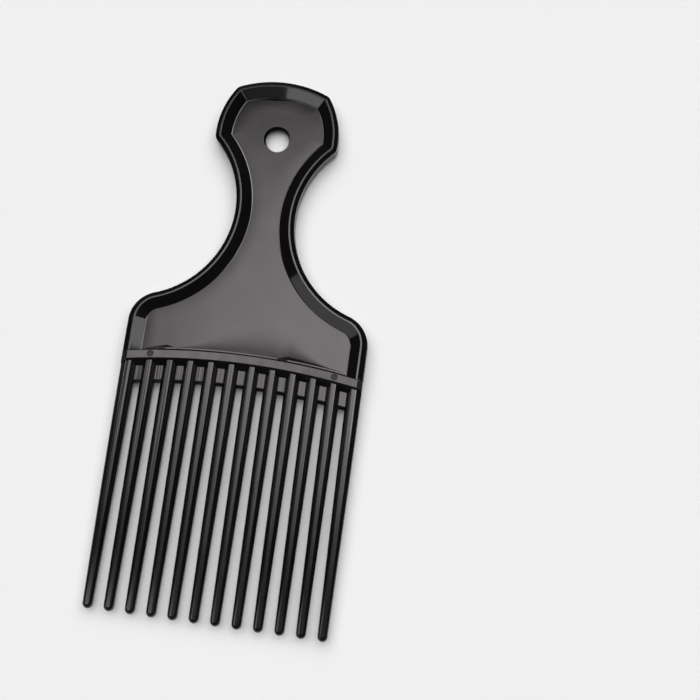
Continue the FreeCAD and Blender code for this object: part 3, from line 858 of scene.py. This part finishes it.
def make_teeth(material):
    """The twelve teeth and the eleven webs between them."""
    tooth, web = tooth_form(), web_form()
    shared = {"Band Half Height": RIM_HALF * MM, "Band Bevel Run": BAND_BEVEL_RUN * MM,
              "Band Edge Radius": BAND_EDGE_RADIUS * MM, "Arch Y": ARCH_Y * MM}
    inner_half, outer_half = TOOTH_ROOT_WIDTH / 2, OUTER_TOOTH_INSET - TOOTH_TRIM
    for number in range(1, TOOTH_COUNT + 1):
        steps = number - (TOOTH_COUNT + 1) / 2
        left = outer_half if number == 1 else inner_half
        right = outer_half if number == TOOTH_COUNT else inner_half
        grow(f"tooth_{number:02d}", tooth, material, {
            **shared, "Count Around": TOOTH_AROUND, "Count Along": TOOTH_ALONG,
            "Root X": steps * ROOT_PITCH * MM, "Tip X": steps * TIP_PITCH * MM,
            "Tip Y": (TIP_Y + TOOTH_TRIM) * MM, "Crest Half": TOOTH_CREST_WIDTH / 2 * MM,
            "Left Half": left * MM, "Right Half": right * MM,
            "Left Land": (OUTER_LAND_HALF if number == 1 else WEB_HALF) * MM,
            "Right Land": (OUTER_LAND_HALF if number == TOOTH_COUNT else WEB_HALF) * MM,
            "Root Half Height": TOOTH_ROOT_THICKNESS / 2 * MM, "Foot Half Height": WEB_HALF * MM,
            "Tip Radius": TOOTH_TIP_DIAMETER / 2 * MM, "Corner Power": TOOTH_CORNER_POWER,
            "Tip Power": TOOTH_TIP_POWER, "Taper Power": TOOTH_TAPER_POWER})
    web_half_width = ROOT_PITCH / 2 - inner_half + WEB_BURY
    for number in range(1, TOOTH_COUNT):
        steps = number - TOOTH_COUNT / 2
        grow(f"root_web_{number:02d}", web, material, {
            **shared, "Count Along": WEB_ALONG, "Count Through": WEB_THROUGH,
            "Centre X": steps * ROOT_PITCH * MM, "Half Width": web_half_width * MM,
            "Half Height": WEB_HALF * MM, "Length": WEB_LENGTH * MM, "Nose Length": WEB_NOSE_LENGTH * MM,
            "Nose Power": WEB_NOSE_POWER})


# Finish: glossy black plastic

DRAW_STRETCH = (1, 0.012, 1)
DRAW_DETAIL = 1
SCRATCH_STRETCHES = ((1, 0.03, 1), (0.05, 1, 0.4))
SCRATCH_DETAIL = 3
SCRATCH_RANGE = (0.66, 0.74)
SCRATCH_COVER_SCALE = 70
SCRATCH_COVER_RANGE = (0.42, 0.62)
SCRATCH_DEPTH = 0.004
SCRATCH_ROUGHENING = 0.16
DUST_LEAST_CHANCE = 0.7
DUST_COVER_SCALE = 45
DUST_COVER_RANGE = (0.4, 0.7)
DUST_LEAST_COVER = 0.15
DUST_ROUGHENING = 0.6
RUB_START = 2.7
RUB_FULL = 2.9
RUB_SCALE = 320
RUB_DETAIL = 4
RUB_ROUGHNESS = 0.6
RUB_RANGE = (0.35, 0.7)
RUB_ROUGHENING = 0.14
CLOUD_SCALE = 60
CLOUD_DETAIL = 3
CLOUD_RANGE = (0.35, 0.7)
CLOUD_ROUGHENING_SHARE = 1.25


def new_effect(name, inputs, outputs):
    """A shader group with named inputs and outputs; returns it with its kit and ends."""
    tree = bpy.data.node_groups.new(name, "ShaderNodeTree")
    for label, value in inputs.items():
        socket = tree.interface.new_socket(label, in_out="INPUT", socket_type="NodeSocketFloat")
        socket.default_value = value
    for label in outputs:
        tree.interface.new_socket(label, in_out="OUTPUT", socket_type="NodeSocketFloat")
    kit = Tree(tree)
    return tree, kit, kit.add("NodeGroupInput").outputs, kit.add("NodeGroupOutput").inputs


def object_place(kit, stretch=(1, 1, 1)):
    """Object coordinates, stretched."""
    coordinates = kit.add("ShaderNodeTexCoord").outputs["Object"]
    mapping = kit.add("ShaderNodeMapping", coordinates)
    mapping.inputs["Scale"].default_value = stretch
    return mapping.outputs[0]


def noise(kit, place_at, scale, detail=2.0, roughness=0.5):
    """A soft cloud pattern."""
    node = kit.add("ShaderNodeTexNoise")
    kit.feed(node.inputs["Vector"], place_at)
    kit.feed(node.inputs["Scale"], scale)
    kit.feed(node.inputs["Detail"], detail)
    kit.feed(node.inputs["Roughness"], roughness)
    return node.outputs[0]


def flow_effect():
    """Slow waves that cooling leaves in a moulded face, with a fine ripple on top."""
    tree, kit, given, made = new_effect(
        "mould_flow", {"Wave Scale": 30.0, "Ripple Scale": 260.0, "Ripple Share": 0.04}, ("Height",))
    place_at = object_place(kit)
    wave = noise(kit, place_at, given["Wave Scale"])
    ripple = noise(kit, place_at, given["Ripple Scale"])
    kit.feed(made["Height"], kit.math("MULTIPLY_ADD", ripple, given["Ripple Share"], wave))
    return tree


def sag_effect():
    """The slow dip that cooling leaves along a bar between its two ends."""
    tree, kit, given, made = new_effect("bar_sag", {"Curve": 0.75}, ("Height",))
    across = kit.add("ShaderNodeSeparateXYZ", object_place(kit)).outputs[0]
    kit.feed(made["Height"], kit.product(across, across, given["Curve"]))
    return tree


def draw_effect():
    """Fine lines along the teeth, left by the cutting of their mould."""
    tree, kit, given, made = new_effect("draw_lines", {"Fineness": 1800.0}, ("Height",))
    lines = noise(kit, object_place(kit, DRAW_STRETCH), given["Fineness"], DRAW_DETAIL)
    kit.feed(made["Height"], lines)
    return tree


def scratch_effect():
    """Hairline handling scratches in two leanings, broken up so that they come and go."""
    tree, kit, given, made = new_effect(
        "handling_scratches", {"Fineness": 900.0, "Amount": 0.5}, ("Mask",))
    masks = []
    for stretch in SCRATCH_STRETCHES:
        lines = noise(kit, object_place(kit, stretch), given["Fineness"], SCRATCH_DETAIL)
        masks.append(kit.span(lines, *SCRATCH_RANGE, 0, 1))
    cover = kit.span(noise(kit, object_place(kit), SCRATCH_COVER_SCALE), *SCRATCH_COVER_RANGE, 0, 1)
    both = kit.math("MAXIMUM", masks[0], masks[1])
    kit.feed(made["Mask"], kit.product(both, cover, given["Amount"]))
    return tree


def dust_effect():
    """Sparse specks of dust, thicker in some places than in others."""
    tree, kit, given, made = new_effect(
        "dust_specks", {"Closeness": 420.0, "Speck Size": 0.1, "Amount": 0.6}, ("Mask",))
    place_at = object_place(kit)
    cells = kit.add("ShaderNodeTexVoronoi")
    kit.feed(cells.inputs["Vector"], place_at)
    kit.feed(cells.inputs["Scale"], given["Closeness"])
    chance = kit.add("ShaderNodeSeparateColor", cells.outputs["Color"]).outputs[0]
    size = kit.math("MULTIPLY", given["Speck Size"], kit.span(chance, DUST_LEAST_CHANCE, 1, 0, 1))
    speck = kit.math("LESS_THAN", cells.outputs["Distance"], size)
    cover = kit.span(noise(kit, place_at, DUST_COVER_SCALE), *DUST_COVER_RANGE, DUST_LEAST_COVER, 1)
    kit.feed(made["Mask"], kit.product(speck, cover, given["Amount"]))
    return tree


def rub_effect():
    """Dulling of the highest faces, where the pick has lain and slid on either side."""
    places = {"Middle": RIM_HALF * MM, "Start": RUB_START * MM, "Full": RUB_FULL * MM}
    tree, kit, given, made = new_effect("lying_rub", {**places, "Amount": 0.5}, ("Mask",))
    height = kit.add("ShaderNodeSeparateXYZ", object_place(kit)).outputs[2]
    away = kit.math("ABSOLUTE", kit.math("SUBTRACT", height, given["Middle"]))
    high = kit.span(away, given["Start"], given["Full"], 0, 1)
    cloud = noise(kit, object_place(kit), RUB_SCALE, RUB_DETAIL, RUB_ROUGHNESS)
    cloud = kit.span(cloud, *RUB_RANGE, 0, 1)
    kit.feed(made["Mask"], kit.product(high, cloud, given["Amount"]))
    return tree


PLASTIC_IOR = 1.59
BLACK = (0.0025, 0.0024, 0.0026, 1)
BLACK_CLOUDED = (0.0045, 0.0042, 0.0043, 1)
DUST_GREY = (0.16, 0.15, 0.145, 1)


def bumped(kit, height, depth, normal, invert=False):
    """A normal turned by a height pattern of some depth, on top of another normal if there is one."""
    bump = kit.add("ShaderNodeBump", invert=invert)
    bump.inputs["Distance"].default_value = depth * MM
    kit.feed(bump.inputs["Height"], height)
    kit.feed(bump.inputs["Normal"], normal)
    return bump.outputs[0]


def gloss_black(name, effects, forms, roughness, scratch, dust, rub):
    """Glossy black plastic with amounts of wear and its own surface forms, each an effect and a depth."""
    material = bpy.data.materials.new(name)
    material.use_nodes = True
    material.node_tree.nodes.clear()
    kit = Tree(material.node_tree)
    masks = {}
    for effect, amount in (("scratch", scratch), ("dust", dust), ("rub", rub)):
        wear = kit.add("ShaderNodeGroup", node_tree=effects[effect])
        wear.inputs["Amount"].default_value = amount
        masks[effect] = wear.outputs["Mask"]

    cloud = kit.span(noise(kit, object_place(kit), CLOUD_SCALE, CLOUD_DETAIL), *CLOUD_RANGE, 0, 1)
    clouded = kit.mix_colour(BLACK, BLACK_CLOUDED, cloud)
    dusted = kit.mix_colour(clouded, DUST_GREY, masks["dust"])

    rough = kit.span(cloud, 0, 1, roughness, roughness * CLOUD_ROUGHENING_SHARE)
    roughening = {"scratch": SCRATCH_ROUGHENING, "rub": RUB_ROUGHENING, "dust": DUST_ROUGHENING}
    for effect, more in roughening.items():
        rough = kit.math("MULTIPLY_ADD", masks[effect], more, rough)

    normal = None
    for effect, depth in forms.items():
        form = kit.add("ShaderNodeGroup", node_tree=effects[effect])
        normal = bumped(kit, form.outputs["Height"], depth, normal)
    normal = bumped(kit, masks["scratch"], SCRATCH_DEPTH, normal, invert=True)

    surface = kit.add("ShaderNodeBsdfPrincipled")
    surface.inputs["IOR"].default_value = PLASTIC_IOR
    kit.feed(surface.inputs["Base Color"], dusted)
    kit.feed(surface.inputs["Roughness"], rough)
    kit.feed(surface.inputs["Normal"], normal)
    kit.add("ShaderNodeOutputMaterial", surface.outputs[0])
    return material


# Each finish: its surface forms and their depths, its roughness and its amounts of wear.
# The height of the sag is already in metres, so its depth is a whole metre.
METRE = 1 / MM
FINISHES = {
    "panel": {"forms": {"flow": 0.22}, "roughness": 0.13, "scratch": 0.25, "dust": 0.5, "rub": 0},
    "rim": {"forms": {"flow": 0.03}, "roughness": 0.06, "scratch": 0.35, "dust": 0.4, "rub": 0.5},
    "band": {
        "forms": {"flow": 0.05, "sag": METRE}, "roughness": 0.13, "scratch": 0.5, "dust": 0.4, "rub": 0.6},
    "teeth": {
        "forms": {"flow": 0.03, "draw": 0.05}, "roughness": 0.14, "scratch": 0.5, "dust": 0.4, "rub": 0},
}


def make_finishes():
    """The four finishes, all from the same effects."""
    effects = {
        "flow": flow_effect(), "sag": sag_effect(), "draw": draw_effect(),
        "scratch": scratch_effect(), "dust": dust_effect(), "rub": rub_effect()}
    return {part: gloss_black(f"gloss_black_{part}", effects, **settings)
            for part, settings in FINISHES.items()}


# Stage, light and camera

FLOOR_REACH = 4000
FLOOR_TONE = (0.885, 0.88, 0.882, 1)
FLOOR_ROUGHNESS = 0.9
FLOOR_GLOSS = 0.1
LENS = 59.31
SENSOR = 36.0
CAMERA_PLACE = (52.06, -50.51, 340.92)
CAMERA_RIGHT = (0.990002, 0.135065, -0.040667)
CAMERA_BACK = (0.061613, -0.154719, 0.986035)


def make_floor():
    """A plain pale floor under the pick."""
    mesh = bpy.data.meshes.new("floor")
    reach = FLOOR_REACH * MM
    corners = [(-reach, -reach, 0), (reach, -reach, 0), (reach, reach, 0), (-reach, reach, 0)]
    mesh.from_pydata(corners, [], [(0, 1, 2, 3)])
    floor = add_object("floor", mesh)
    material = bpy.data.materials.new("pale_floor")
    material.use_nodes = True
    surface = material.node_tree.nodes["Principled BSDF"]
    surface.inputs["Base Color"].default_value = FLOOR_TONE
    surface.inputs["Roughness"].default_value = FLOOR_ROUGHNESS
    surface.inputs["Specular IOR Level"].default_value = FLOOR_GLOSS
    mesh.materials.append(material)


# The room that the gloss mirrors, its places given as slopes, across and along, away from straight up
SOFTBOX_LEFT = (-0.40, -0.12)
SOFTBOX_RIGHT = (0.7, 0.5)
SOFTBOX_BOTTOM = (-0.09, 0.13)
SOFTBOX_TOP = (0.335, 1.2)
SOFTBOX_WIDENING = (-0.03, 0.35)
SOFTBOX_SOFTNESS = 0.15
SOFTBOX_STRENGTH = 3.6
CORE_ACROSS = (0.05, 0.3)
CORE_ALONG = (0.25, 0.42)
CORE_GAIN = 2.2
FILL_ACROSS = (-1.15, -1.0, -0.7, -0.55)
FILL_ALONG = (0.0, 0.2, 1.0, 1.2)
FILL_STRENGTH = 6.5
ROOM_STRENGTH = 0.03
ROOM_WHITE = (1, 0.98, 0.98, 1)
ROOM_TINT = (1, 0.925, 0.945, 1)
TINT_FADE = (-0.05, 0.2)
LEAST_RISE = 0.05

# A dim glow low at the crown's end, given by direction, and the pale backdrop, which the gloss
# mirrors just over the floor and the camera sees at every height
HORIZON_TOP = math.radians(12)
HORIZON_FULL = math.radians(4)
HORIZON_ALONG = (-0.1, 0.5)
HORIZON_STRENGTH = 0.2
BACKDROP_TOP = math.radians(5)
BACKDROP_FULL = math.radians(3)
BACKDROP_STRENGTH = 0.86


def soft_span(kit, value, start, full, most=1):
    """A value that rises softly from 0 between two places."""
    return kit.span(value, start, full, 0, most, "SMOOTHSTEP")


def make_world():
    """A dim room for the gloss to mirror: a large soft light, a fill at its left and a pale backdrop."""
    world = bpy.data.worlds.new("studio")
    bpy.context.scene.world = world
    world.use_nodes = True
    world.cycles_visibility.diffuse = False
    world.node_tree.nodes.clear()
    kit = Tree(world.node_tree)
    facing = kit.add("ShaderNodeSeparateXYZ", kit.add("ShaderNodeTexCoord").outputs["Generated"]).outputs
    rise = kit.math("MAXIMUM", facing[2], LEAST_RISE)
    across, along = kit.math("DIVIDE", facing[0], rise), kit.math("DIVIDE", facing[1], rise)
    top = kit.span(across, *SOFTBOX_WIDENING, *SOFTBOX_TOP)
    past = kit.math("SUBTRACT", along, top)
    softbox = soft_span(kit, past, SOFTBOX_SOFTNESS, -SOFTBOX_SOFTNESS, SOFTBOX_STRENGTH)
    for place_on, edge in ((across, SOFTBOX_LEFT), (across, SOFTBOX_RIGHT), (along, SOFTBOX_BOTTOM)):
        softbox = kit.math("MULTIPLY", softbox, soft_span(kit, place_on, *edge))
    core = kit.math("MULTIPLY", soft_span(kit, across, *CORE_ACROSS, CORE_GAIN),
                    soft_span(kit, along, *CORE_ALONG))
    softbox = kit.math("MULTIPLY_ADD", softbox, core, softbox)
    fill = FILL_STRENGTH
    for place_on, (start, full, waning, end) in ((across, FILL_ACROSS), (along, FILL_ALONG)):
        fill = kit.product(fill, soft_span(kit, place_on, start, full), soft_span(kit, place_on, end, waning))
    horizon = soft_span(kit, facing[2], math.sin(HORIZON_TOP), math.sin(HORIZON_FULL))
    glow = soft_span(kit, facing[1], *HORIZON_ALONG, HORIZON_STRENGTH)
    horizon = kit.math("MULTIPLY", horizon, glow)
    strength = kit.math("ADD", kit.math("ADD", softbox, fill), kit.math("ADD", horizon, ROOM_STRENGTH))
    seen = kit.add("ShaderNodeLightPath").outputs["Is Camera Ray"]
    low = soft_span(kit, facing[2], math.sin(BACKDROP_TOP), math.sin(BACKDROP_FULL))
    backdrop = kit.math("MAXIMUM", low, seen)
    white = kit.math("MAXIMUM", kit.span(across, *TINT_FADE, 0, 1), backdrop)
    background = kit.add("ShaderNodeBackground")
    kit.feed(background.inputs["Color"], kit.mix_colour(ROOM_TINT, ROOM_WHITE, white))
    kit.feed(background.inputs["Strength"], kit.mix(strength, BACKDROP_STRENGTH, backdrop))
    kit.add("ShaderNodeOutputWorld", background.outputs[0])


DOME_STRENGTH = 3.4
DOME_ANGLE = math.radians(85)
DOME_TILT = math.radians(24)


def make_dome():
    """Even light from most of the sky for matt surfaces, which the gloss doesn't mirror."""
    lamp = bpy.data.lights.new("dome_light", "SUN")
    lamp.angle = DOME_ANGLE
    lamp.energy = DOME_STRENGTH
    dome = add_object("dome_light", lamp)
    dome.visible_glossy = False
    dome.rotation_euler = (-DOME_TILT, 0, 0)


# Plain light panels that only the gloss mirrors, each turned by an angle in degrees
CROWN_CARD_X = -132
CROWN_CARD_Y = -137
CROWN_CARD_Z = 250
CROWN_CARD_SIZE = (153, 66)
DIM_CARD_X = CROWN_CARD_X + CROWN_CARD_SIZE[0]
CARDS = {
    "crown_card": {
        "place_at": (CROWN_CARD_X, CROWN_CARD_Y, CROWN_CARD_Z), "size": CROWN_CARD_SIZE, "radiance": 1.45},
    "crown_dim_card": {
        "place_at": (DIM_CARD_X, CROWN_CARD_Y, CROWN_CARD_Z), "size": CROWN_CARD_SIZE, "radiance": 0.15},
    "far_card": {"place_at": (-555, -490, 500), "size": (760, 190), "turn": -26, "radiance": 0.62},
    "side_card": {"place_at": (70.2, 21, 100), "size": (29.6, 16), "radiance": 1.65},
    "mitre_card": {"place_at": (81, 1, 155), "size": (50, 50), "radiance": 2.4},
}

# The power that a square metre of a lamp needs for a radiance of 1
POWER_PER_AREA = 4


def make_card(name, place_at, size, radiance, turn=0):
    """A rectangular light panel that faces down, as bright as its radiance."""
    lamp = bpy.data.lights.new(name, "AREA")
    lamp.shape = "RECTANGLE"
    lamp.size, lamp.size_y = size[0] * MM, size[1] * MM
    lamp.energy = radiance * POWER_PER_AREA * lamp.size * lamp.size_y
    card = add_object(name, lamp)
    card.location = Vector(place_at) * MM
    card.rotation_euler = (0, 0, math.radians(turn))
    card.visible_camera = False
    card.visible_diffuse = False


def make_camera():
    """The camera at the photograph's angle."""
    data = bpy.data.cameras.new("camera")
    data.lens, data.sensor_width = LENS, SENSOR
    camera = add_object("camera", data)
    back, right = Vector(CAMERA_BACK), Vector(CAMERA_RIGHT)
    turned = Matrix((right, back.cross(right), back)).transposed()
    camera.matrix_world = Matrix.Translation(Vector(CAMERA_PLACE) * MM) @ turned.to_4x4()
    bpy.context.scene.camera = camera


finishes = make_finishes()
make_rims(finishes["rim"])
make_panel(finishes["panel"])
make_band(finishes["band"])
make_teeth(finishes["teeth"])
make_floor()
make_world()
make_dome()
for card, settings in CARDS.items():
    make_card(card, **settings)
make_camera()
bpy.context.scene.view_settings.view_transform = "Standard"
